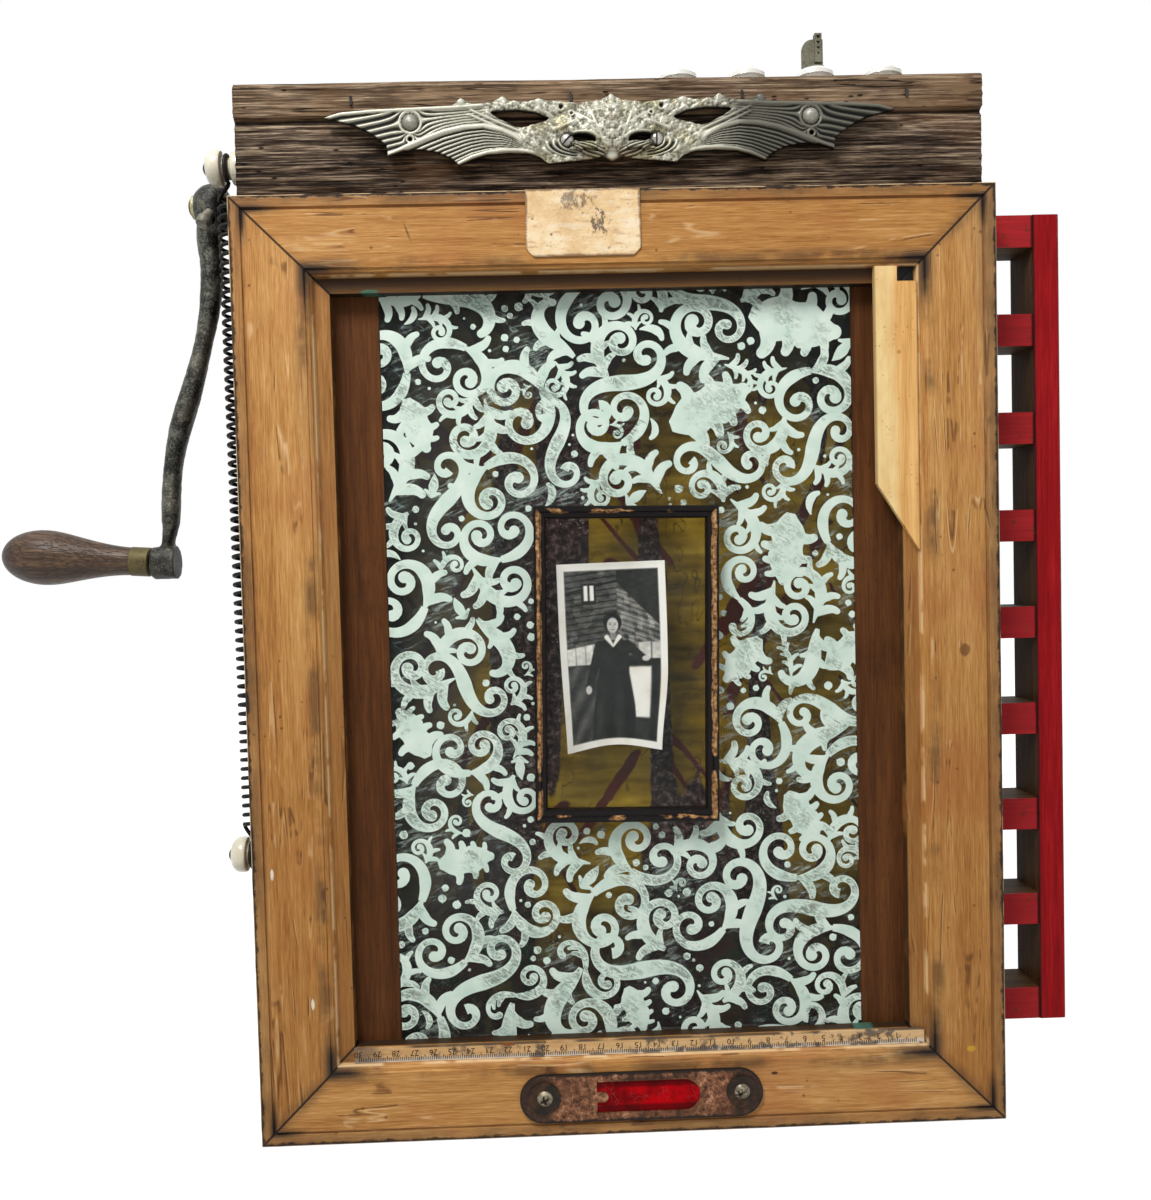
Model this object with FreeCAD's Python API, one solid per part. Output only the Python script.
"""Hand-cranked panorama box for a wall or a shelf.

A picture frame closes the front of a shallow wooden cabinet. Behind its glass an endless painted
scroll runs over two rollers. A cast-iron crank on the left side turns the upper roller, and the
scroll drives the lower one. All sizes are in millimetres.

Frame of reference: X runs to the right, Y away from the viewer and Z up. The origin is the middle
of the underside. A depth is measured from the front face of the picture frame towards the back.
"""
import FreeCAD, Part
import math
import os

# Picture frame
FRAME_WIDTH = 400.0
FRAME_HEIGHT = 500.0
FRAME_THICKNESS = 20.0
BAND_WIDTH = 6.5          # narrow band along the outer edge
QUIRK_WIDTH = 1.0         # groove between band and flat face
QUIRK_DEPTH = 1.2
QUIRK_SLOPE = 0.4
FRAME_ARRIS = 0.8         # worn outer corner
FACE_WIDTH = 30.5         # flat face, from the quirk to the bead
BEAD_WIDTH = 4.0          # from the flat face down to the lip
BEAD_PROFILE = [(0.1, 0.15), (0.5, 0.22), (0.9, 0.55)]    # shares of its width and drop
LIP_WIDTH = 8.0
LIP_DEPTH = 5.5           # the lip's surface, behind the front face
REBATE_WIDTH = 8.0        # how far the pane and its boards reach behind the lip
GLAZING_DEPTH = 14.0      # front of the pane, behind the front face
GLASS_THICKNESS = 3.0
GLASS_WIDTH = 252.0

# Cabinet
CABINET_DEPTH = 100.0
SIDE_THICKNESS = 12.0
BOTTOM_THICKNESS = 12.0
TOP_THICKNESS = 12.0
BACK_THICKNESS = 6.0

# Header moulding across the top
HEADER_HEIGHT = 64.0
HEADER_THICKNESS = 20.0
HEADER_DEPTH = 14.0       # front of the header, behind the front face
HEADER_NOSING = 3.0
HEADER_TOP_BAND = 17.0
HEADER_GROOVE = 2.1
HEADER_MIDDLE_BAND = 22.1
HEADER_LINE = 1.6
HEADER_RECESS = 2.0
HEADER_GROOVE_DEPTH = 1.6  # below the recess
HEADER_LINE_DEPTH = 1.0
HEADER_SLOPE = 0.3

# Shaft, rollers and scroll
SHAFT_DEPTH = 60.0
SHAFT_ABOVE_FRAME = 12.0
SHAFT_RADIUS = 6.0
AXLE_RADIUS = 4.0
ROLLER_RADIUS = 17.0
ROLLER_FLOOR_GAP = 5.0
ROLLER_END_GAP = 0.5
SCROLL_THICKNESS = 0.8
SCROLL_GAP = 0.3
SCROLL_SIDE_GAP = 8.0     # between the scroll and a side panel
RUNNING_CLEARANCE = 0.05
BUSH_WALL = 3.0
BUSH_FLANGE_RADIUS = 13.0
BUSH_FLANGE_THICKNESS = 2.0

# Crank
CRANK_RADIUS = 200.0
HUB_GAP = 14.0            # bare shaft between the side panel and the hub
HUB_LENGTH = 17.0
HUB_RADIUS = 16.2
# shares of the hub's length and radius
HUB_PROFILE = [(0.0, 0.62), (0.12, 0.86), (0.38, 1.0), (0.66, 0.95), (0.9, 0.72), (1.0, 0.45)]
NUT_RADIUS = 6.8
NUT_HEIGHT = 7.0
NUT_PROFILE = [(0.0, 1.0), (0.3, 1.0), (0.8, 0.7), (1.0, 0.2)]
SET_SCREW_RADIUS = 2.5
SET_SCREW_HEAD = 6.0
SET_SCREW_HEAD_HEIGHT = 4.8
SET_SCREW_NECK = 0.6      # bare shank between hub and head
SET_SCREW_DROP_DEG = 40.0
ARM_DEPTH_RATIO = 1.25    # the arm is deeper than it is wide
ARM_HALF_WIDTH = 6.8
# shares: down the crank's throw, out towards the boss, and of the greatest half width
ARM_STATIONS = [(0.03, 0.02, 1.0), (0.105, 0.08, 0.88), (0.278, 0.14, 0.9), (0.4, 0.3, 0.82),
                (0.492, 0.46, 0.94), (0.585, 0.64, 1.0), (0.676, 0.79, 0.88),
                (0.768, 0.88, 0.82), (0.865, 0.92, 0.82), (0.96, 0.97, 0.76)]
BOSS_RADIUS = 9.7
BOSS_LENGTH = 17.1
BOSS_OFFSET = 34.0        # middle of the boss, out from the middle of the hub

# Grip
GRIP_TILT_DEG = 4.0
GRIP_PIN_RADIUS = 3.0
GRIP_START_GAP = 0.3
FERRULE_LENGTH = 11.0
FERRULE_RADIUS = 8.3
FERRULE_CHAMFER = 0.5
GRIP_LENGTH = 71.0
GRIP_RADIUS = 15.6
# shares of the grip's length and radius
GRIP_PROFILE = [(0.0, 0.51), (0.1, 0.54), (0.25, 0.64), (0.45, 0.84), (0.66, 1.0),
                (0.82, 0.92), (0.95, 0.62), (1.0, 0.34)]
PIN_HEAD_RADIUS = 4.0
PIN_HEAD_HEIGHT = 2.0

# Porcelain knobs
KNOB_RADIUS = 11.0
KNOB_LENGTH = 19.0
KNOB_BASE = 8.6           # base flange, up to the groove
KNOB_GROOVE = 4.4
KNOB_GROOVE_RADIUS = 7.4
KNOB_ROUNDING = 1.2
KNOB_SHOULDER = 2.0
KNOB_DRAFT = 0.4
KNOB_CROWN_RADIUS = 6.0
KNOB_BORE_RADIUS = 2.4
KNOB_HEAD_RADIUS = 4.2
KNOB_HEAD_HEIGHT = 2.2
KNOB_SHANK_RADIUS = 2.0
KNOB_SHANK_LENGTH = 9.0   # into the wood
SIDE_KNOB_DEPTH = 35.0
UPPER_KNOB_ABOVE_FRAME = 25.0
LOWER_KNOB_HEIGHT = 149.0
TOP_KNOB_PITCH = 39.0
TOP_KNOB_COUNT = 4
FIRST_TOP_KNOB = 42.0

# Tension spring between the side knobs
SPRING_WIRE = 2.4
SPRING_RADIUS = 6.5
SPRING_WALL_GAP = 1.2
SPRING_PITCH = 5.1
SPRING_END_GAP = 17.0     # from the middle of a knob to the first turn

# Notched tab on one of the top knobs
TAB_KNOB_INDEX = 2
TAB_WIDTH = 12.0
TAB_HEIGHT = 19.5
TAB_THICKNESS = 2.5
TAB_FOOT_THICKNESS = 1.2
TAB_CORNER_RADIUS = 6.0
RIB_WIDTH = 4.0
RIB_RISE = 2.8            # the rib stands above the plate's top
RIB_DEPTH = 2.0
RIB_INSET = 1.0
RIB_FOOT = 6.0            # above the knob
NOTCH_COUNT = 4
NOTCH_PITCH = 3.2
NOTCH_START = 1.2
NOTCH_HALF_WIDTH = 1.45
NOTCH_TAPER = 0.2         # each notch is narrower than the one above
STRAP_WIDTH = 9.0
TAB_CLEARANCE = 0.3       # between the plate and the screw's head

# Rack on the right side
RACK_DEPTH = 30.0
POST_WIDTH = 14.5
POST_DEPTH = 31.0
POST_CHAMFER = 1.0
RACK_REACH = 32.0         # clear space between cabinet and post
RACK_FOOT = 42.0          # height of the rack's lower end
RUNG_HEIGHT = 17.5
RUNG_DEPTH = 29.5
RUNG_COUNT = 9
RUNG_PITCH = 53.95
RACK_SCREW_HEAD_RADIUS = 3.6
RACK_SCREW_RADIUS = 1.8
RACK_SCREW_LENGTH = 28.0

# Small frame on the glass and the card behind it
SMALL_FRAME_WIDTH = 98.5
SMALL_FRAME_HEIGHT = 169.0
SMALL_FRAME_MEMBER = 6.5
SMALL_FRAME_THICKNESS = 9.0
# shares of the member's width and thickness, from the outer edge inwards
SMALL_FRAME_PROFILE = [(0.0, 0.11), (0.12, 0.0), (0.45, 0.0), (0.55, 0.17), (0.88, 0.24),
                       (1.0, 0.36), (1.0, 1.0), (0.0, 1.0)]
SMALL_FRAME_CENTRE = (1.0, 251.5)
SMALL_FRAME_LEAN_DEG = 1.1
CARD_WIDTH = 60.0
CARD_HEIGHT = 103.0
CARD_THICKNESS = 0.6
CARD_BOW = 4.0
CARD_LEAN_DEG = 1.0
CARD_CENTRE = (-5.0, 254.5)
CARD_GAP = 0.2

# Trim on the front
POINTED_STRIP_WIDTH = 22.5
POINTED_STRIP_LENGTH = 150.0
POINTED_STRIP_POINT = 36.0
POINTED_STRIP_THICKNESS = 3.5
POINTED_STRIP_NOTCH = (10.5, 8.0)
RULE_LEFT_GAP = 8.0       # from the bead at the left
RULE_RIGHT_GAP = 1.0
RULE_THICKNESS = 1.5
CREAM_PLATE_WIDTH = 59.6
CREAM_PLATE_HEIGHT = 34.5
CREAM_PLATE_THICKNESS = 0.8
CREAM_PLATE_CLIP = 4.0
CREAM_PLATE_X = -16.7
SLOT_PLATE_LENGTH = 130.0
SLOT_PLATE_HEIGHT = 26.0
SLOT_PLATE_THICKNESS = 1.8
SLOT_PLATE_CENTRE = (2.8, 21.2)
SLOT_WINDOW_LENGTH = 55.2
SLOT_WINDOW_HEIGHT = 16.8
SLOT_WINDOW_SHIFT = 3.7
SLOT_TAB_LENGTH = 6.0
SLOT_TAB_RADIUS = 2.6
SLOT_SCREW_PITCH = 105.4
INSERT_THICKNESS = 0.8
INSERT_GAP = 0.1
WASHER_RADIUS = 8.4
WASHER_THICKNESS = 1.2
PLATE_SCREW_RADIUS = 1.7
PLATE_SCREW_HEAD_RADIUS = 4.1
PLATE_SCREW_HEAD_HEIGHT = 2.0
PLATE_SCREW_LENGTH = 14.0
SCREW_SLOT_WIDTH = 1.0
SCREW_SLOT_DEPTH = 0.6     # share of the head's height
CROSS_SLOT_RADIUS = 2.3
CROSS_SLOT_TURNS = (20.0, 110.0)
PLATE_SCREW_SHIFT = (1.0, 0.9)   # from the middle of the plate

# Winged ornament: the right half of its outline, out from the middle and up from its middle line
ORNAMENT_ABOVE_FRAME = 34.0
ORNAMENT_UPPER_EDGE = [(0.0, 18.5), (5.0, 15.5), (12.0, 14.7), (19.0, 13.8), (25.5, 15.0),
                       (33.0, 15.2), (38.0, 16.6), (44.0, 15.0), (53.5, 15.5), (57.0, 18.0),
                       (63.0, 15.0), (73.0, 14.7), (79.0, 17.3), (84.0, 13.7), (107.0, 12.9),
                       (126.0, 12.2), (142.0, 11.0), (150.6, 8.3)]
ORNAMENT_LOWER_EDGE = [(135.0, 4.5), (127.0, 0.5), (121.5, -3.5), (118.5, -6.2), (118.0, -11.7),
                       (109.5, -9.0), (100.5, -8.5), (92.0, -10.1), (84.0, -13.8), (81.0, -17.2),
                       (73.5, -14.0), (66.0, -11.9), (54.0, -11.1), (43.5, -11.9), (38.0, -13.7),
                       (34.0, -17.2), (26.0, -16.4), (18.0, -15.8), (10.0, -15.0), (5.0, -14.0),
                       (0.0, -16.5)]
ORNAMENT_EYE = [(31.8, 6.2), (40.0, 9.6), (50.0, 11.0), (62.5, 10.4), (63.8, 9.6), (58.8, 6.6),
                (51.3, 2.8), (47.3, 1.7), (39.0, 4.0)]
ORNAMENT_WING_THICKNESS = 3.0
ORNAMENT_BODY_THICKNESS = 8.0
ORNAMENT_BODY_HALF_WIDTH = 30.0
ORNAMENT_BODY_HALF_HEIGHT = 14.0
CLAW_LOOP_CENTRE = (17.0, -6.5)
CLAW_LOOP_SIZE = (8.5, 3.8)
STUD_POSITION = (105.7, 5.5)
STUD_RADIUS = 4.3
STUD_HEIGHT = 3.2
STUD_SHANK_RADIUS = 1.6
ORNAMENT_SCREW_POSITION = (23.5, -5.1)
ORNAMENT_SCREW_RADIUS = 3.4
ORNAMENT_SCREW_HEIGHT = 1.8
ORNAMENT_SCREW_LENGTH = 12.0
ORNAMENT_SCREW_SEAT = 3.8  # claw surface, in front of the header
ORNAMENT_SCREW_TURNS = (45.0, 90.0)
WING_HOLE_POSITION = (106.0, -3.2)
WING_HOLE_RADIUS = 1.1

# Cabinet fasteners and hangers
WOOD_SCREW_RADIUS = 1.9
WOOD_SCREW_HEAD_RADIUS = 3.8
WOOD_SCREW_LENGTH = 26.0
FRONT_SCREW_INSET = 14.0  # behind the header
REAR_SCREW_INSET = 10.0   # in front of the back panel
CUT_NAIL_WIDTH = 1.3
CUT_NAIL_HEIGHT = 4.5
CUT_NAIL_LENGTH = 18.0
CUT_NAIL_POSITIONS = (-137.0, -21.0, 70.0, 158.0)
HANGER_SPACING = 300.0
HANGER_WIDTH = 24.0
HANGER_THICKNESS = 2.0
HANGER_RISE = 20.0        # how far an ear stands above the top board
HANGER_HOLE_RADIUS = 3.2
HANGER_HOLE_ABOVE_TOP = 11.0
STOP_WIDTH = 7.0

# Worked out from the sizes above
HALF_WIDTH = FRAME_WIDTH / 2.0
MEMBER_WIDTH = BAND_WIDTH + QUIRK_WIDTH + FACE_WIDTH + BEAD_WIDTH + LIP_WIDTH
REBATE_START = MEMBER_WIDTH - REBATE_WIDTH
GLASS_BACK = GLAZING_DEPTH + GLASS_THICKNESS
CABINET_TOP = FRAME_HEIGHT + HEADER_HEIGHT
INNER_HALF_WIDTH = HALF_WIDTH - SIDE_THICKNESS
HEADER_BACK = HEADER_DEPTH + HEADER_THICKNESS
BACK_START = CABINET_DEPTH - BACK_THICKNESS
SHAFT_HEIGHT = FRAME_HEIGHT + SHAFT_ABOVE_FRAME
SCROLL_INNER_RADIUS = ROLLER_RADIUS + SCROLL_GAP
SCROLL_RADIUS = SCROLL_INNER_RADIUS + SCROLL_THICKNESS
AXLE_HEIGHT = BOTTOM_THICKNESS + ROLLER_FLOOR_GAP + ROLLER_RADIUS
HUB_MIDDLE = HALF_WIDTH + HUB_GAP + HUB_LENGTH / 2.0
BOSS_OUTER = HUB_MIDDLE + BOSS_OFFSET + BOSS_LENGTH / 2.0
BOSS_HEIGHT = SHAFT_HEIGHT - CRANK_RADIUS
UPPER_KNOB_HEIGHT = FRAME_HEIGHT + UPPER_KNOB_ABOVE_FRAME
SPRING_AXIS = HALF_WIDTH + SPRING_WALL_GAP + SPRING_RADIUS
RACK_POST_INNER = HALF_WIDTH + RACK_REACH
RACK_TOP = RACK_FOOT + (RUNG_COUNT - 1) * RUNG_PITCH + RUNG_HEIGHT
ORNAMENT_HEIGHT = FRAME_HEIGHT + ORNAMENT_ABOVE_FRAME

LEFT, RIGHT = FreeCAD.Vector(-1, 0, 0), FreeCAD.Vector(1, 0, 0)
FRONT, BACK = FreeCAD.Vector(0, -1, 0), FreeCAD.Vector(0, 1, 0)
UP, DOWN = FreeCAD.Vector(0, 0, 1), FreeCAD.Vector(0, 0, -1)


def point(x, depth, z):
    """A point given by its depth behind the front face."""
    return FreeCAD.Vector(x, depth - CABINET_DEPTH / 2.0, z)


def block(x, depth, z):
    """A box between two values on each axis."""
    return Part.makeBox(x[1] - x[0], depth[1] - depth[0], z[1] - z[0], point(x[0], depth[0], z[0]))


def place(shape, origin, outward, spin_deg=0.0):
    """Turns a shape built up along +Z to point outward, and puts its foot at the origin."""
    turn = FreeCAD.Rotation(UP, outward).multiply(FreeCAD.Rotation(UP, spin_deg))
    placed = shape.copy()
    placed.Placement = FreeCAD.Placement(origin, turn).multiply(shape.Placement)
    return placed


def rod(radius, start, outward, length):
    """A plain cylinder that leaves start along outward."""
    return place(Part.makeCylinder(radius, length), start, outward)


def plate(outline, depth):
    """A flat plate between two depths, from an outline of (x, z) points."""
    corners = [point(x, depth[0], z) for x, z in outline]
    face = Part.Face(Part.makePolygon(corners + corners[:1]))
    return face.extrude(FreeCAD.Vector(0, depth[1] - depth[0], 0))


def turned(profile, curved=False):
    """A solid of revolution about +Z from (height, radius) points, straight or as one curve."""
    points = [FreeCAD.Vector(radius, 0, height) for height, radius in profile]
    foot = FreeCAD.Vector(0, 0, profile[0][0])
    head = FreeCAD.Vector(0, 0, profile[-1][0])
    if curved:
        curve = Part.BSplineCurve()
        curve.interpolate(points)
        edges = [curve.toShape()]
    else:
        edges = [Part.makeLine(a, b) for a, b in zip(points, points[1:])]
    if profile[-1][1] > 0:
        edges.append(Part.makeLine(points[-1], head))
    edges.append(Part.makeLine(head, foot))
    if profile[0][1] > 0:
        edges.append(Part.makeLine(foot, points[0]))
    return Part.Face(Part.Wire(edges)).revolve(FreeCAD.Vector(0, 0, 0), UP, 360)


def domed_head(radius, height, shank_radius, shank_length):
    """A screw or stud along +Z: the seat of its domed head is at 0 and its shank below it."""
    ball_radius = (radius ** 2 + height ** 2) / (2.0 * height)
    ball = Part.makeSphere(ball_radius, FreeCAD.Vector(0, 0, height - ball_radius))
    head = Part.makeCylinder(radius, height).common(ball)
    shank = Part.makeCylinder(shank_radius, shank_length, FreeCAD.Vector(0, 0, -shank_length))
    return head.fuse(shank)


def slotted(screw, radius, height, angles):
    """Cuts one screwdriver slot across the head for each angle."""
    depth = height * SCREW_SLOT_DEPTH
    for angle in angles:
        slot = Part.makeBox(2 * radius, SCREW_SLOT_WIDTH, depth,
                            FreeCAD.Vector(-radius, -SCREW_SLOT_WIDTH / 2.0, height - depth))
        slot.rotate(FreeCAD.Vector(0, 0, 0), UP, angle)
        screw = screw.cut(slot)
    return screw


def countersunk(head_radius, radius, length):
    """A wood screw along +Z whose flat head is flush at 0."""
    head_height = head_radius - radius
    return turned([(-length, 0.0), (-length + radius, radius), (-head_height, radius),
                   (0.0, head_radius)])


def mirrored(shape):
    """The same shape on the other side of the cabinet."""
    return shape.mirror(FreeCAD.Vector(0, 0, 0), RIGHT)


def mitred_member(profile, width, length):
    """A moulding that lies along X with its outer edge on z = 0 and both ends cut at 45 degrees.
    The profile's points are (inwards, depth)."""
    corners = [point(-length / 2.0, depth, inwards) for inwards, depth in profile]
    bar = Part.Face(Part.makePolygon(corners + corners[:1])).extrude(FreeCAD.Vector(length, 0, 0))
    depths = [depth for inwards, depth in profile]
    wedge = plate([(-length / 2.0, 0.0), (length / 2.0, 0.0),
                   (length / 2.0 - width, width), (-length / 2.0 + width, width)],
                  (min(depths) - 1.0, max(depths) + 1.0))
    return bar.common(wedge)


def mitred_frame(profile, width, frame_width, frame_height):
    """The four members of a frame that stands on z = 0, as bottom, top, left and right."""
    middle = FreeCAD.Vector(0, 0, frame_height / 2.0)
    bottom = mitred_member(profile, width, frame_width)
    top = bottom.copy()
    top.rotate(middle, BACK, 180)
    left = mitred_member(profile, width, frame_height)
    left.rotate(FreeCAD.Vector(0, 0, 0), BACK, 90)
    left.translate(FreeCAD.Vector(-frame_width / 2.0, 0, frame_height / 2.0))
    right = left.copy()
    right.rotate(middle, BACK, 180)
    return bottom, top, left, right


def frame_profile():
    """The picture frame's moulding: band, quirk, flat face, bead, lip and rebate."""
    face_start = BAND_WIDTH + QUIRK_WIDTH
    bead_start = face_start + FACE_WIDTH
    lip_start = bead_start + BEAD_WIDTH
    outer = [(0.0, FRAME_ARRIS), (FRAME_ARRIS, 0.0), (BAND_WIDTH - QUIRK_SLOPE, 0.0),
             (BAND_WIDTH, QUIRK_DEPTH), (face_start, QUIRK_DEPTH),
             (face_start + QUIRK_SLOPE, 0.0), (bead_start, 0.0)]
    bead = [(bead_start + width * BEAD_WIDTH, drop * LIP_DEPTH) for width, drop in BEAD_PROFILE]
    inner = [(lip_start, LIP_DEPTH), (MEMBER_WIDTH, LIP_DEPTH), (MEMBER_WIDTH, GLAZING_DEPTH),
             (REBATE_START, GLAZING_DEPTH), (REBATE_START, FRAME_THICKNESS),
             (0.0, FRAME_THICKNESS)]
    return outer + bead + inner


def header_profile():
    """The header's section as (height above the frame, depth) points."""
    front = HEADER_DEPTH
    recess = front + HEADER_RECESS
    top_band = HEADER_HEIGHT - HEADER_NOSING - HEADER_TOP_BAND
    middle_top = top_band - HEADER_GROOVE
    middle_foot = middle_top - HEADER_MIDDLE_BAND
    line_foot = middle_foot - HEADER_LINE
    line = front + HEADER_LINE_DEPTH
    groove = recess + HEADER_GROOVE_DEPTH
    return [(0.0, recess + HEADER_SLOPE), (line_foot, recess), (line_foot + HEADER_SLOPE, line),
            (middle_foot, line), (middle_foot + HEADER_SLOPE, recess), (middle_top, recess),
            (middle_top + HEADER_SLOPE, groove), (top_band - HEADER_SLOPE, groove),
            (top_band, front), (HEADER_HEIGHT - HEADER_NOSING, front),
            (HEADER_HEIGHT, front + HEADER_NOSING),
            (HEADER_HEIGHT, HEADER_BACK), (0.0, HEADER_BACK)]


def header():
    corners = [point(-HALF_WIDTH, depth, FRAME_HEIGHT + height)
               for height, depth in header_profile()]
    face = Part.Face(Part.makePolygon(corners + corners[:1]))
    return face.extrude(FreeCAD.Vector(FRAME_WIDTH, 0, 0))


def side_panel():
    """The left side panel, notched at the top where the header runs across."""
    corners = [point(-HALF_WIDTH, depth, z) for depth, z in
               [(FRAME_THICKNESS, 0.0), (FRAME_THICKNESS, FRAME_HEIGHT),
                (HEADER_BACK, FRAME_HEIGHT), (HEADER_BACK, CABINET_TOP - TOP_THICKNESS),
                (CABINET_DEPTH, CABINET_TOP - TOP_THICKNESS), (CABINET_DEPTH, 0.0)]]
    face = Part.Face(Part.makePolygon(corners + corners[:1]))
    return face.extrude(FreeCAD.Vector(SIDE_THICKNESS, 0, 0))


def knob():
    """A grooved porcelain knob along +Z, with a bore for its screw."""
    groove_end = KNOB_BASE + KNOB_GROOVE
    side = KNOB_RADIUS - KNOB_DRAFT
    shoulder = KNOB_RADIUS - KNOB_SHOULDER
    body = turned([(0.0, KNOB_RADIUS - KNOB_ROUNDING), (KNOB_ROUNDING, KNOB_RADIUS),
                   (KNOB_BASE - KNOB_ROUNDING, side), (KNOB_BASE, shoulder),
                   (KNOB_BASE + KNOB_DRAFT, KNOB_GROOVE_RADIUS),
                   (groove_end - KNOB_DRAFT, KNOB_GROOVE_RADIUS), (groove_end, shoulder),
                   (groove_end + KNOB_ROUNDING, KNOB_RADIUS),
                   (KNOB_LENGTH - KNOB_SHOULDER - KNOB_DRAFT, side),
                   (KNOB_LENGTH - 2 * KNOB_DRAFT, shoulder), (KNOB_LENGTH, KNOB_CROWN_RADIUS)])
    return body.cut(Part.makeCylinder(KNOB_BORE_RADIUS, KNOB_LENGTH))


def knob_screw():
    """The screw of a knob along +Z, measured from the knob's foot."""
    screw = domed_head(KNOB_HEAD_RADIUS, KNOB_HEAD_HEIGHT, KNOB_SHANK_RADIUS,
                       KNOB_LENGTH + KNOB_SHANK_LENGTH)
    screw.translate(FreeCAD.Vector(0, 0, KNOB_LENGTH))
    return screw


def spring():
    """The coil as a ridged tube, one ridge to a turn, and at each end a leg and an eye that lies
    in the knob's groove."""
    wire = SPRING_WIRE / 2.0
    mean = SPRING_RADIUS - wire
    foot = LOWER_KNOB_HEIGHT + SPRING_END_GAP
    head = UPPER_KNOB_HEIGHT - SPRING_END_GAP
    turns = int((head - foot - SPRING_WIRE) / SPRING_PITCH)
    first = foot + (head - foot - turns * SPRING_PITCH) / 2.0
    edges = [Part.makeLine(FreeCAD.Vector(mean - wire, 0, foot), FreeCAD.Vector(mean, 0, foot))]
    last = FreeCAD.Vector(mean, 0, foot)
    for turn in range(turns + 1):
        middle = first + turn * SPRING_PITCH
        low = FreeCAD.Vector(mean, 0, middle - wire)
        high = FreeCAD.Vector(mean, 0, middle + wire)
        if (low - last).Length > 1e-6:
            edges.append(Part.makeLine(last, low))
        edges.append(Part.Arc(low, FreeCAD.Vector(mean + wire, 0, middle), high).toShape())
        last = high
    end = FreeCAD.Vector(mean, 0, head)
    if (end - last).Length > 1e-6:
        edges.append(Part.makeLine(last, end))
    edges.append(Part.makeLine(end, FreeCAD.Vector(mean - wire, 0, head)))
    edges.append(Part.makeLine(FreeCAD.Vector(mean - wire, 0, head),
                               FreeCAD.Vector(mean - wire, 0, foot)))
    coil = Part.Face(Part.Wire(edges)).revolve(FreeCAD.Vector(0, 0, 0), UP, 360)
    coil.translate(point(-SPRING_AXIS, SIDE_KNOB_DEPTH, 0.0))
    return [coil, spring_hook(UPPER_KNOB_HEIGHT, head, DOWN), spring_hook(LOWER_KNOB_HEIGHT, foot, UP)]


def spring_hook(knob_height, coil_end, towards_coil):
    """An eye round the knob's groove and the leg that joins it to the coil."""
    wire = SPRING_WIRE / 2.0
    groove = HALF_WIDTH + KNOB_BASE + KNOB_GROOVE / 2.0
    eye_radius = KNOB_GROOVE_RADIUS + wire + INSERT_GAP
    eye = Part.makeTorus(eye_radius, wire, point(-groove, SIDE_KNOB_DEPTH, knob_height), LEFT)
    start = point(-groove, SIDE_KNOB_DEPTH, knob_height) + towards_coil * eye_radius
    end = point(-SPRING_AXIS - SPRING_RADIUS + wire, SIDE_KNOB_DEPTH, coil_end)
    leg = rod(wire, start, end - start, (end - start).Length)
    return eye.fuse(leg)


def crank_arm():
    """Domed hub, S-shaped arm and boss of the crank, one casting."""
    hub_foot = point(-HALF_WIDTH - HUB_GAP, SHAFT_DEPTH, SHAFT_HEIGHT)
    hub = turned([(length * HUB_LENGTH, radius * HUB_RADIUS) for length, radius in HUB_PROFILE],
                 True)
    hub = place(hub, hub_foot, LEFT)
    sections = []
    for down, out, share in ARM_STATIONS:
        half_width = share * ARM_HALF_WIDTH
        ellipse = Part.Ellipse(FreeCAD.Vector(0, 0, 0), half_width * ARM_DEPTH_RATIO, half_width)
        section = Part.Wire(ellipse.toShape())
        section.rotate(FreeCAD.Vector(0, 0, 0), UP, 90)
        section.translate(point(-HUB_MIDDLE - out * BOSS_OFFSET, SHAFT_DEPTH,
                                SHAFT_HEIGHT - down * CRANK_RADIUS))
        sections.append(section)
    arm = Part.makeLoft(sections, True)
    boss = rod(BOSS_RADIUS, point(-BOSS_OUTER, SHAFT_DEPTH, BOSS_HEIGHT), RIGHT, BOSS_LENGTH)
    return hub.fuse([arm, boss])


def grip_axis():
    """Direction of the grip's pin: outwards to the left and a little upwards."""
    tilt = math.radians(GRIP_TILT_DEG)
    return FreeCAD.Vector(-math.cos(tilt), 0, math.sin(tilt))


def grip_pieces():
    """The pin that stays with the arm, and the ferrule and grip that turn on it."""
    root = point(-BOSS_OUTER + BOSS_LENGTH / 2.0, SHAFT_DEPTH, BOSS_HEIGHT)
    axis = grip_axis()
    sink = BOSS_LENGTH / 2.0
    start = sink + BOSS_RADIUS * math.tan(math.radians(GRIP_TILT_DEG)) + GRIP_START_GAP
    grip_start = start + FERRULE_LENGTH
    end = grip_start + GRIP_LENGTH
    well = PIN_HEAD_HEIGHT + 2 * GRIP_START_GAP
    pin = turned([(0.0, GRIP_PIN_RADIUS), (end - well, GRIP_PIN_RADIUS),
                  (end - well, PIN_HEAD_RADIUS), (end - well + PIN_HEAD_HEIGHT, PIN_HEAD_RADIUS)])
    bore = Part.makeCylinder(GRIP_PIN_RADIUS + RUNNING_CLEARANCE, end)
    head_room = Part.makeCylinder(PIN_HEAD_RADIUS + GRIP_START_GAP, well + GRIP_START_GAP,
                                  FreeCAD.Vector(0, 0, end - well - GRIP_START_GAP))
    edge = FERRULE_RADIUS - FERRULE_CHAMFER
    ferrule = turned([(start, edge), (start + FERRULE_CHAMFER, FERRULE_RADIUS),
                      (grip_start - FERRULE_CHAMFER, FERRULE_RADIUS), (grip_start, edge)])
    grip = turned([(grip_start + length * GRIP_LENGTH, radius * GRIP_RADIUS)
                   for length, radius in GRIP_PROFILE], True)
    return (place(pin, root, axis), place(ferrule.cut(bore), root, axis),
            place(grip.cut(bore).cut(head_room), root, axis))


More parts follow.
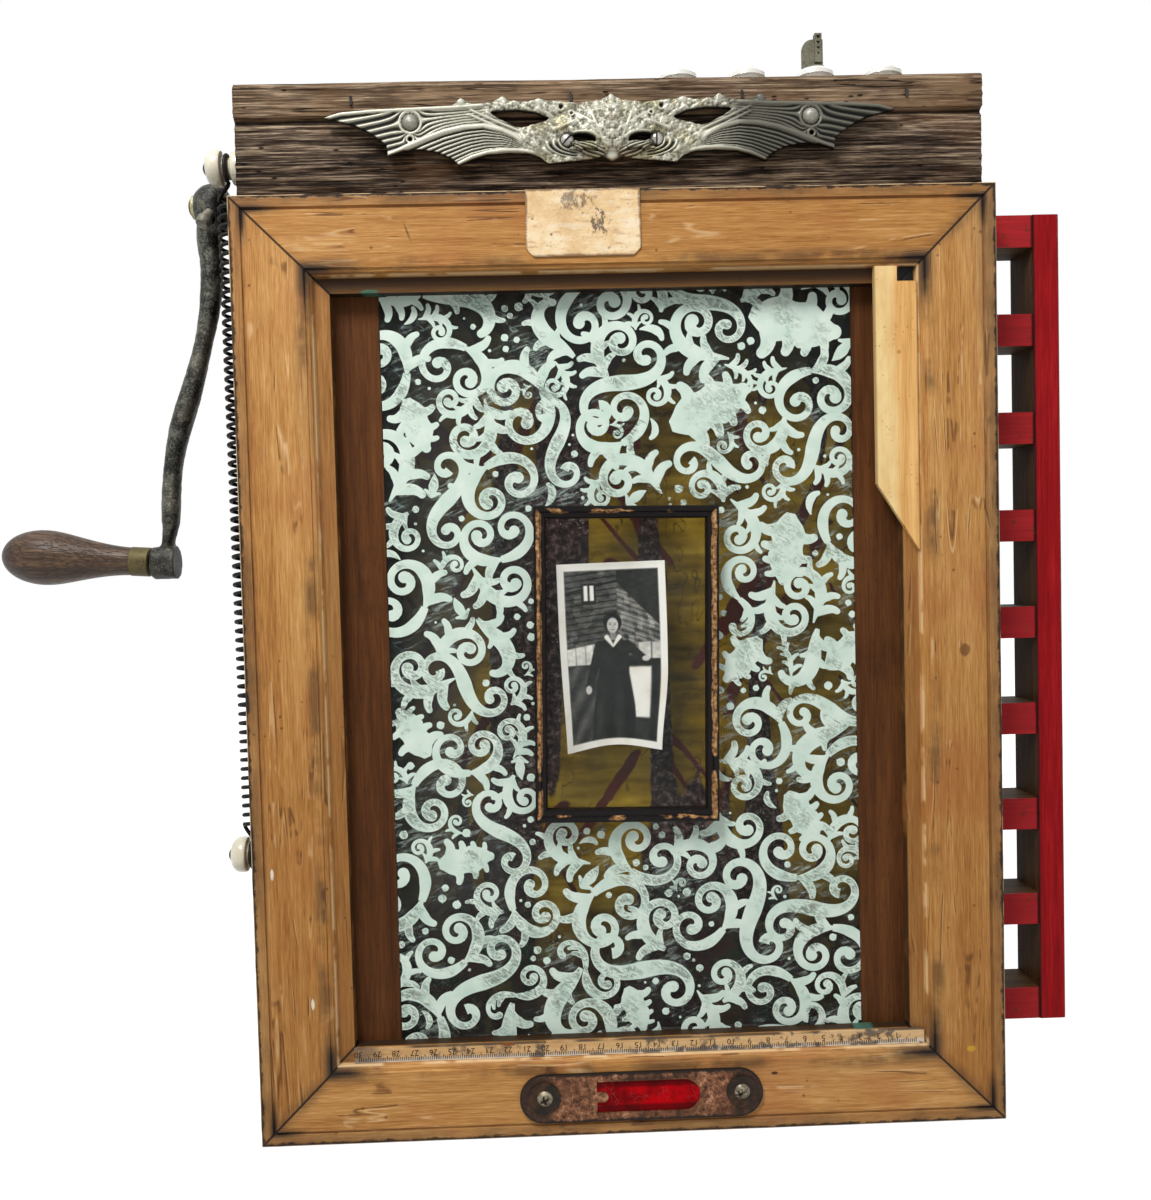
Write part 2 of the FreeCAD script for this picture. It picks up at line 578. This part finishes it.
def set_screw():
    """A square-headed screw that clamps the hub, pointing forwards and down."""
    drop = math.radians(SET_SCREW_DROP_DEG)
    outward = FreeCAD.Vector(0, -math.cos(drop), -math.sin(drop))
    start = point(-HUB_MIDDLE, SHAFT_DEPTH, SHAFT_HEIGHT) + outward * SHAFT_RADIUS
    length = HUB_RADIUS - SHAFT_RADIUS + SET_SCREW_NECK
    shank = Part.makeCylinder(SET_SCREW_RADIUS, length)
    half = SET_SCREW_HEAD / 2.0
    head = Part.makeBox(SET_SCREW_HEAD, SET_SCREW_HEAD, SET_SCREW_HEAD_HEIGHT,
                        FreeCAD.Vector(-half, -half, length))
    return place(shank.fuse(head), start, outward)


def ornament():
    """The winged casting: two thin wings and a thicker scaled body, with its real openings."""
    back = HEADER_DEPTH
    half = ORNAMENT_UPPER_EDGE + ORNAMENT_LOWER_EDGE
    other = [(-x, z) for x, z in reversed(half) if x > 0]
    outline = [(x, ORNAMENT_HEIGHT + z) for x, z in half + other]
    wings = plate(outline, (back - ORNAMENT_WING_THICKNESS, back))
    body = Part.makeSphere(1.0)
    stretch = FreeCAD.Matrix()
    stretch.scale(ORNAMENT_BODY_HALF_WIDTH, ORNAMENT_BODY_THICKNESS, ORNAMENT_BODY_HALF_HEIGHT)
    body = body.transformGeometry(stretch)
    body.translate(point(0.0, back, ORNAMENT_HEIGHT))
    front_space = block((-HALF_WIDTH, HALF_WIDTH), (back - FRAME_THICKNESS, back),
                        (FRAME_HEIGHT, CABINET_TOP))
    casting = wings.fuse(body.common(front_space))
    for side in (-1, 1):
        eye = plate([(side * x, ORNAMENT_HEIGHT + z) for x, z in ORNAMENT_EYE],
                    (back - FRAME_THICKNESS, back))
        loop = Part.Ellipse(FreeCAD.Vector(0, 0, 0), *CLAW_LOOP_SIZE).toShape()
        loop = Part.Face(Part.Wire(loop)).extrude(UP * FRAME_THICKNESS)
        loop = place(loop, point(side * CLAW_LOOP_CENTRE[0], back,
                                 ORNAMENT_HEIGHT + CLAW_LOOP_CENTRE[1]), FRONT)
        hole = rod(WING_HOLE_RADIUS, point(side * WING_HOLE_POSITION[0], back,
                                           ORNAMENT_HEIGHT + WING_HOLE_POSITION[1]),
                   FRONT, ORNAMENT_WING_THICKNESS)
        casting = casting.cut([eye, loop, hole])
    return casting


def both_sides(position):
    """The (x, z) places of a mirrored pair on the ornament."""
    x, z = position
    return [(-x, ORNAMENT_HEIGHT + z), (x, ORNAMENT_HEIGHT + z)]


def ornament_studs():
    stud = domed_head(STUD_RADIUS, STUD_HEIGHT, STUD_SHANK_RADIUS, ORNAMENT_SCREW_LENGTH)
    seat = HEADER_DEPTH - ORNAMENT_WING_THICKNESS
    return [place(stud, point(x, seat, z), FRONT) for x, z in both_sides(STUD_POSITION)]


def ornament_screws():
    """Two slotted screws whose heads bear on the claws."""
    screw = domed_head(ORNAMENT_SCREW_RADIUS, ORNAMENT_SCREW_HEIGHT, STUD_SHANK_RADIUS,
                       ORNAMENT_SCREW_LENGTH + ORNAMENT_SCREW_SEAT)
    screw = slotted(screw, ORNAMENT_SCREW_RADIUS, ORNAMENT_SCREW_HEIGHT, [0.0])
    seat = HEADER_DEPTH - ORNAMENT_SCREW_SEAT
    return [place(screw, point(x, seat, z), FRONT, turn)
            for (x, z), turn in zip(both_sides(ORNAMENT_SCREW_POSITION), ORNAMENT_SCREW_TURNS)]


def stadium(length, height, centre, depth):
    """A plate with half-round ends."""
    radius = height / 2.0
    half = length / 2.0 - radius
    x, z = centre
    plain = block((x - half, x + half), depth, (z - radius, z + radius))
    ends = [rod(radius, point(x + side * half, depth[0], z), BACK, depth[1] - depth[0])
            for side in (-1, 1)]
    return plain.fuse(ends).removeSplitter()


def slot_window(gap, depth):
    """The window in the slotted plate: round at the right, with a small tab at the left."""
    x, z = SLOT_PLATE_CENTRE
    x += SLOT_WINDOW_SHIFT
    radius = SLOT_WINDOW_HEIGHT / 2.0
    left = x - SLOT_WINDOW_LENGTH / 2.0
    right = x + SLOT_WINDOW_LENGTH / 2.0
    window = block((left + gap, right - radius), depth, (z - radius + gap, z + radius - gap))
    window = window.fuse(rod(radius - gap, point(right - radius, depth[0], z), BACK,
                             depth[1] - depth[0]))
    neck = left + SLOT_TAB_LENGTH - SLOT_TAB_RADIUS
    tab_radius = SLOT_TAB_RADIUS + gap
    tab = block((left - 1.0, neck), depth, (z - tab_radius, z + tab_radius))
    tab = tab.fuse(rod(tab_radius, point(neck, depth[0], z), BACK, depth[1] - depth[0]))
    return window.cut(tab)


def slot_screw_places():
    x, z = [middle + shift for middle, shift in zip(SLOT_PLATE_CENTRE, PLATE_SCREW_SHIFT)]
    return [(x + side * SLOT_SCREW_PITCH / 2.0, z) for side in (-1, 1)]


def card():
    """A stiff print, bowed about an upright line, whose long edges lie against the glass."""
    radius = (CARD_WIDTH ** 2 / 4.0 + CARD_BOW ** 2) / (2.0 * CARD_BOW)
    x, z = CARD_CENTRE
    edge_depth = GLASS_BACK + CARD_GAP
    centre = point(x, edge_depth + CARD_BOW - radius, z - CARD_HEIGHT / 2.0)
    outer = Part.makeCylinder(radius + CARD_THICKNESS, CARD_HEIGHT, centre)
    inner = Part.makeCylinder(radius, CARD_HEIGHT, centre)
    window = block((x - CARD_WIDTH / 2.0, x + CARD_WIDTH / 2.0),
                   (edge_depth, edge_depth + CARD_BOW + 2 * CARD_THICKNESS),
                   (z - CARD_HEIGHT, z + CARD_HEIGHT))
    sheet = outer.cut(inner).common(window)
    sheet.rotate(point(x, edge_depth, z), BACK, -CARD_LEAN_DEG)
    return sheet


def small_frame():
    """Four mitred members, leaning a little, glued to the face of the glass."""
    front = GLAZING_DEPTH - SMALL_FRAME_THICKNESS
    profile = [(width * SMALL_FRAME_MEMBER, front + depth * SMALL_FRAME_THICKNESS)
               for width, depth in SMALL_FRAME_PROFILE]
    members = mitred_frame(profile, SMALL_FRAME_MEMBER, SMALL_FRAME_WIDTH, SMALL_FRAME_HEIGHT)
    x, z = SMALL_FRAME_CENTRE
    placed = []
    for piece in members:
        piece.translate(FreeCAD.Vector(x, 0, z - SMALL_FRAME_HEIGHT / 2.0))
        piece.rotate(point(x, 0.0, z), BACK, SMALL_FRAME_LEAN_DEG)
        placed.append(piece)
    return placed


def pointed_strip():
    """A pale strip on the lip at the upper right, cut to a point below and notched above."""
    right = HALF_WIDTH - MEMBER_WIDTH + LIP_WIDTH
    left = right - POINTED_STRIP_WIDTH
    top = FRAME_HEIGHT - MEMBER_WIDTH + LIP_WIDTH
    foot = top - POINTED_STRIP_LENGTH
    notch_width, notch_height = POINTED_STRIP_NOTCH
    outline = [(left, top), (right - notch_width, top), (right - notch_width, top - notch_height),
               (right, top - notch_height), (right, foot), (left, foot + POINTED_STRIP_POINT)]
    return plate(outline, (LIP_DEPTH - POINTED_STRIP_THICKNESS, LIP_DEPTH))


def tab():
    """The notched tab: a foot under the knob's screw, an upright plate and a rib."""
    x = FIRST_TOP_KNOB + TAB_KNOB_INDEX * TOP_KNOB_PITCH
    foot = CABINET_TOP + KNOB_LENGTH
    left, right = x - TAB_WIDTH / 2.0, x + TAB_WIDTH / 2.0
    front = SHAFT_DEPTH + KNOB_HEAD_RADIUS + TAB_CLEARANCE
    upright = block((left, right), (front, front + TAB_THICKNESS), (foot, foot + TAB_HEIGHT))
    corner = point(left, front, foot + TAB_HEIGHT)
    rounding = [edge for edge in upright.Edges
                if abs(edge.CenterOfMass.x - corner.x) < 1e-6
                and abs(edge.CenterOfMass.z - corner.z) < 1e-6]
    upright = upright.makeFillet(TAB_CORNER_RADIUS, rounding)
    rib_right = right - RIB_INSET
    rib_left = rib_right - RIB_WIDTH
    rib_top = foot + TAB_HEIGHT + RIB_RISE
    rib = block((rib_left, rib_right), (front - RIB_DEPTH, front + TAB_THICKNESS),
                (foot + RIB_FOOT, rib_top))
    for index in range(NOTCH_COUNT):
        half = NOTCH_HALF_WIDTH - NOTCH_TAPER * index
        z = rib_top - NOTCH_START - index * NOTCH_PITCH
        middle = (rib_left + rib_right) / 2.0
        rib = rib.cut(plate([(middle - half, z), (middle + half, z), (middle, z - 1.5 * half)],
                            (front - RIB_DEPTH, front)))
    base = Part.makeCylinder(TAB_WIDTH / 2.0, TAB_FOOT_THICKNESS, point(x, SHAFT_DEPTH, foot))
    strap = block((x - STRAP_WIDTH / 2.0, x + STRAP_WIDTH / 2.0),
                  (SHAFT_DEPTH, front + TAB_THICKNESS),
                  (foot, foot + TAB_FOOT_THICKNESS))
    bore = Part.makeCylinder(KNOB_SHANK_RADIUS, TAB_FOOT_THICKNESS, point(x, SHAFT_DEPTH, foot))
    return upright.fuse([rib, base, strap]).cut(bore)


def top_knob_places():
    return [FIRST_TOP_KNOB + index * TOP_KNOB_PITCH for index in range(TOP_KNOB_COUNT)]


def top_knob_screws():
    """Domed screws; the one that holds the tab sits higher by the tab's foot."""
    screws = []
    for index, x in enumerate(top_knob_places()):
        lift = TAB_FOOT_THICKNESS if index == TAB_KNOB_INDEX else 0.0
        screws.append(place(knob_screw(), point(x, SHAFT_DEPTH, CABINET_TOP + lift), UP))
    return screws


def scroll():
    """The endless scroll: two straight runs and a half turn round each roller."""
    half = INNER_HALF_WIDTH - SCROLL_SIDE_GAP

    def loop(radius):
        run = block((-half, half), (SHAFT_DEPTH - radius, SHAFT_DEPTH + radius),
                    (AXLE_HEIGHT, SHAFT_HEIGHT))
        turns = [rod(radius, point(-half, SHAFT_DEPTH, z), RIGHT, 2 * half)
                 for z in (AXLE_HEIGHT, SHAFT_HEIGHT)]
        return run.fuse(turns).removeSplitter()

    return loop(SCROLL_RADIUS).cut(loop(SCROLL_INNER_RADIUS))


def roller(bore_radius, height):
    """A wooden roller that fits between the bush flanges."""
    half = INNER_HALF_WIDTH - BUSH_FLANGE_THICKNESS - ROLLER_END_GAP
    start = point(-half, SHAFT_DEPTH, height)
    return rod(ROLLER_RADIUS, start, RIGHT, 2 * half).cut(rod(bore_radius, start, RIGHT, 2 * half))


def bush(shaft_radius, height):
    """A flanged bush in the left side panel, its flange on the inside."""
    sleeve_radius = shaft_radius + RUNNING_CLEARANCE + BUSH_WALL
    start = point(-HALF_WIDTH, SHAFT_DEPTH, height)
    length = SIDE_THICKNESS + BUSH_FLANGE_THICKNESS
    flange = rod(BUSH_FLANGE_RADIUS, point(-INNER_HALF_WIDTH, SHAFT_DEPTH, height), RIGHT,
                 BUSH_FLANGE_THICKNESS)
    body = rod(sleeve_radius, start, RIGHT, length).fuse(flange)
    return body.cut(rod(shaft_radius + RUNNING_CLEARANCE, start, RIGHT, length))


def bush_seat(shaft_radius, height):
    """The hole that a bush needs in the left side panel."""
    return rod(shaft_radius + RUNNING_CLEARANCE + BUSH_WALL, point(-HALF_WIDTH, SHAFT_DEPTH, height),
               RIGHT, SIDE_THICKNESS)


def cabinet_screws():
    """Screws that hold the boards to the side panels, and one for each hanger."""
    screw = countersunk(WOOD_SCREW_HEAD_RADIUS, WOOD_SCREW_RADIUS, WOOD_SCREW_LENGTH)
    side_middle = HALF_WIDTH - SIDE_THICKNESS / 2.0
    screws = []
    for depth in (HEADER_BACK + FRONT_SCREW_INSET, BACK_START - REAR_SCREW_INSET):
        screws.append(place(screw, point(-HALF_WIDTH, depth, BOTTOM_THICKNESS / 2.0), LEFT))
        screws.append(place(screw, point(-side_middle, depth, CABINET_TOP), UP))
    screws += [mirrored(piece) for piece in screws]
    for side in (-1, 1):
        seat = point(side * HANGER_SPACING / 2.0, CABINET_DEPTH, CABINET_TOP - TOP_THICKNESS / 2.0)
        screws.append(place(screw, seat, BACK))
    return screws


def header_nails():
    """Cut nails through the header's top band, their heads flush with it."""
    z = CABINET_TOP - HEADER_NOSING - HEADER_TOP_BAND / 2.0
    return [block((x - CUT_NAIL_WIDTH / 2.0, x + CUT_NAIL_WIDTH / 2.0),
                  (HEADER_DEPTH, HEADER_DEPTH + CUT_NAIL_LENGTH),
                  (z - CUT_NAIL_HEIGHT / 2.0, z + CUT_NAIL_HEIGHT / 2.0))
            for x in CUT_NAIL_POSITIONS]


def hangers():
    """Two steel ears let into the back edge of the top board."""
    ears = []
    foot = CABINET_TOP - TOP_THICKNESS
    for side in (-1, 1):
        x = side * HANGER_SPACING / 2.0
        ear = block((x - HANGER_WIDTH / 2.0, x + HANGER_WIDTH / 2.0),
                    (CABINET_DEPTH - HANGER_THICKNESS, CABINET_DEPTH),
                    (foot, CABINET_TOP + HANGER_RISE))
        hole = rod(HANGER_HOLE_RADIUS, point(x, CABINET_DEPTH - HANGER_THICKNESS,
                                             CABINET_TOP + HANGER_HOLE_ABOVE_TOP),
                   BACK, HANGER_THICKNESS)
        ears.append(ear.cut(hole))
    return ears


def rung_height(index):
    """Lower face of a rung, counted from the rack's foot."""
    return RACK_FOOT + index * RUNG_PITCH


def post():
    """The rack's upright, its two outer corners chamfered."""
    outer = RACK_POST_INNER + POST_WIDTH
    upright = block((RACK_POST_INNER, outer), (RACK_DEPTH, RACK_DEPTH + POST_DEPTH),
                    (RACK_FOOT, RACK_TOP))
    corners = [edge for edge in upright.Edges
               if abs(edge.CenterOfMass.x - outer) < 1e-6
               and abs(edge.CenterOfMass.z - (RACK_FOOT + RACK_TOP) / 2.0) < 1e-6]
    return upright.makeChamfer(POST_CHAMFER, corners)


def rack_screws():
    """One countersunk screw through the post into each rung."""
    screw = countersunk(RACK_SCREW_HEAD_RADIUS, RACK_SCREW_RADIUS, RACK_SCREW_LENGTH)
    x = RACK_POST_INNER + POST_WIDTH
    depth = RACK_DEPTH + POST_DEPTH / 2.0
    return [place(screw, point(x, depth, rung_height(index) + RUNG_HEIGHT / 2.0), RIGHT)
            for index in range(RUNG_COUNT)]


def glazing():
    """The pane, the stained boards beside it and the stops behind its upper and lower edges."""
    half = HALF_WIDTH - REBATE_START
    foot, head = REBATE_START, FRAME_HEIGHT - REBATE_START
    depth = (GLAZING_DEPTH, GLASS_BACK)
    pane = block((-GLASS_WIDTH / 2.0, GLASS_WIDTH / 2.0), depth, (foot, head))
    left = block((-half, -GLASS_WIDTH / 2.0), depth, (foot, head))
    stop_depth = (GLASS_BACK, FRAME_THICKNESS)
    stops = [block((-half, half), stop_depth, (foot, foot + STOP_WIDTH)),
             block((-half, half), stop_depth, (head - STOP_WIDTH, head))]
    return pane, left, mirrored(left), stops


def export(name, pieces):
    """Writes one sub-part as parts/NAME.step."""
    shape = pieces if isinstance(pieces, Part.Shape) else Part.makeCompound(pieces)
    shape.exportStep(os.path.join("parts", name + ".step"))
    print(name, "solids", len(shape.Solids), "valid", shape.isValid())


def main():
    os.makedirs("parts", exist_ok=True)
    nodes = {}

    # Front: frame, glazing and small frame
    bottom, top, left, right = mitred_frame(frame_profile(), MEMBER_WIDTH, FRAME_WIDTH, FRAME_HEIGHT)
    pane, left_board, right_board, stops = glazing()
    nodes["glass_pane"] = pane
    nodes["left_reveal_board"] = left_board
    nodes["right_reveal_board"] = right_board
    nodes["glass_stops"] = stops
    nodes["small_frame"] = small_frame()
    nodes["snapshot_card"] = card()
    nodes["pointed_strip"] = pointed_strip()
    bead_foot = HALF_WIDTH - MEMBER_WIDTH + LIP_WIDTH
    nodes["measuring_strip"] = block((-bead_foot + RULE_LEFT_GAP, bead_foot - RULE_RIGHT_GAP),
                                     (LIP_DEPTH - RULE_THICKNESS, LIP_DEPTH),
                                     (MEMBER_WIDTH - LIP_WIDTH, MEMBER_WIDTH))

    # Plates on the frame's face
    half_cream = CREAM_PLATE_WIDTH / 2.0
    cream_foot = FRAME_HEIGHT - CREAM_PLATE_HEIGHT
    nodes["cream_plate"] = plate(
        [(CREAM_PLATE_X - half_cream, FRAME_HEIGHT), (CREAM_PLATE_X + half_cream, FRAME_HEIGHT),
         (CREAM_PLATE_X + half_cream, cream_foot + CREAM_PLATE_CLIP),
         (CREAM_PLATE_X + half_cream - CREAM_PLATE_CLIP, cream_foot),
         (CREAM_PLATE_X - half_cream + CREAM_PLATE_CLIP, cream_foot),
         (CREAM_PLATE_X - half_cream, cream_foot + CREAM_PLATE_CLIP)],
        (-CREAM_PLATE_THICKNESS, 0.0))
    plate_screw = domed_head(PLATE_SCREW_HEAD_RADIUS, PLATE_SCREW_HEAD_HEIGHT, PLATE_SCREW_RADIUS,
                             PLATE_SCREW_LENGTH)
    plate_screw = slotted(plate_screw, CROSS_SLOT_RADIUS, PLATE_SCREW_HEAD_HEIGHT,
                          CROSS_SLOT_TURNS)
    washer_face = -SLOT_PLATE_THICKNESS - WASHER_THICKNESS
    screws = [place(plate_screw, point(x, washer_face, z), FRONT) for x, z in slot_screw_places()]
    nodes["plate_screws"] = screws
    nodes["plate_washers"] = [
        rod(WASHER_RADIUS, point(x, washer_face, z), BACK, WASHER_THICKNESS).cut(screw)
        for (x, z), screw in zip(slot_screw_places(), screws)]
    rusty = stadium(SLOT_PLATE_LENGTH, SLOT_PLATE_HEIGHT, SLOT_PLATE_CENTRE,
                    (-SLOT_PLATE_THICKNESS, 0.0))
    rusty = rusty.cut(slot_window(0.0, (-SLOT_PLATE_THICKNESS, 0.0)))
    nodes["slotted_plate"] = rusty.cut(screws)
    nodes["red_insert"] = slot_window(INSERT_GAP, (-INSERT_THICKNESS, 0.0))
    bottom = bottom.cut(screws)

    # Header, ornament and top knobs
    nails = header_nails()
    studs = ornament_studs()
    claw_screws = ornament_screws()
    nodes["header_nails"] = nails
    nodes["ornament_studs"] = studs
    nodes["ornament_screws"] = claw_screws
    nodes["winged_ornament"] = ornament().cut(studs + claw_screws)
    nodes["top_knobs"] = [place(knob(), point(x, SHAFT_DEPTH, CABINET_TOP), UP)
                          for x in top_knob_places()]
    knob_screws = top_knob_screws()
    nodes["top_knob_screws"] = knob_screws
    nodes["notched_tab"] = tab()

    # Side knobs and spring
    upper = point(-HALF_WIDTH, SIDE_KNOB_DEPTH, UPPER_KNOB_HEIGHT)
    lower = point(-HALF_WIDTH, SIDE_KNOB_DEPTH, LOWER_KNOB_HEIGHT)
    nodes["upper_nail_knob"] = place(knob(), upper, LEFT)
    nodes["lower_nail_knob"] = place(knob(), lower, LEFT)
    side_nails = [place(knob_screw(), upper, LEFT), place(knob_screw(), lower, LEFT)]
    nodes["side_knob_nails"] = side_nails
    nodes["tension_spring"] = spring()

    # Cabinet
    wood_screws = cabinet_screws()
    ears = hangers()
    nodes["wall_hangers"] = [ear.cut(wood_screws) for ear in ears]
    nodes["cabinet_screws"] = wood_screws
    seats = [bush_seat(SHAFT_RADIUS, SHAFT_HEIGHT), bush_seat(AXLE_RADIUS, AXLE_HEIGHT)]
    panel = side_panel().cut(seats)
    nodes["left_side_panel"] = panel.cut(wood_screws + side_nails)
    nodes["right_side_panel"] = mirrored(panel).cut(wood_screws)
    nodes["header_moulding"] = header().cut(nails + studs + claw_screws + side_nails)
    nodes["top_board"] = block((-HALF_WIDTH, HALF_WIDTH), (HEADER_BACK, CABINET_DEPTH),
                               (CABINET_TOP - TOP_THICKNESS, CABINET_TOP)
                               ).cut(wood_screws + knob_screws + ears)
    nodes["bottom_board"] = block((-INNER_HALF_WIDTH, INNER_HALF_WIDTH),
                                  (FRAME_THICKNESS, BACK_START),
                                  (0.0, BOTTOM_THICKNESS)).cut(wood_screws)
    nodes["back_panel"] = block((-INNER_HALF_WIDTH, INNER_HALF_WIDTH),
                                (BACK_START, CABINET_DEPTH), (0.0, CABINET_TOP - TOP_THICKNESS))
    nodes["frame_bottom_rail"] = bottom
    nodes["frame_top_rail"] = top
    nodes["frame_left_stile"] = left
    nodes["frame_right_stile"] = right

    # Rack
    long_screws = rack_screws()
    nodes["rack_screws"] = long_screws
    nodes["rack_post"] = post().cut(long_screws)
    rung_front = RACK_DEPTH + (POST_DEPTH - RUNG_DEPTH) / 2.0
    for index in range(RUNG_COUNT):
        foot = rung_height(index)
        rung = block((HALF_WIDTH, RACK_POST_INNER), (rung_front, rung_front + RUNG_DEPTH),
                     (foot, foot + RUNG_HEIGHT))
        nodes["rack_rung_%d" % (index + 1)] = rung.cut(long_screws[index])

    # Scroll, rollers and shafts
    nodes["backdrop_scroll"] = scroll()
    upper_bush = bush(SHAFT_RADIUS, SHAFT_HEIGHT)
    lower_bush = bush(AXLE_RADIUS, AXLE_HEIGHT)
    nodes["upper_bushes"] = [upper_bush, mirrored(upper_bush)]
    nodes["lower_bushes"] = [lower_bush, mirrored(lower_bush)]
    nodes["upper_roller"] = roller(SHAFT_RADIUS, SHAFT_HEIGHT)
    nodes["lower_roller"] = roller(AXLE_RADIUS, AXLE_HEIGHT)
    nodes["lower_axle"] = rod(AXLE_RADIUS, point(-HALF_WIDTH, SHAFT_DEPTH, AXLE_HEIGHT), RIGHT,
                              FRAME_WIDTH)
    hub_face = HALF_WIDTH + HUB_GAP + HUB_LENGTH
    shaft = rod(SHAFT_RADIUS, point(-hub_face, SHAFT_DEPTH, SHAFT_HEIGHT), RIGHT,
                hub_face + HALF_WIDTH)
    nodes["crank_shaft"] = shaft

    # Crank and grip
    pin, ferrule, grip = grip_pieces()
    clamp = set_screw()
    nodes["crank_arm"] = crank_arm().cut([shaft, pin, clamp])
    nodes["set_screw"] = clamp
    nut = turned([(height * NUT_HEIGHT, radius * NUT_RADIUS) for height, radius in NUT_PROFILE],
                 True)
    nodes["hub_nut"] = place(nut, point(-hub_face, SHAFT_DEPTH, SHAFT_HEIGHT), LEFT)
    nodes["grip_pin"] = pin
    nodes["grip_ferrule"] = ferrule
    nodes["crank_grip"] = grip

    for name in sorted(nodes):
        export(name, nodes[name])
    print("nodes", len(nodes))


main()
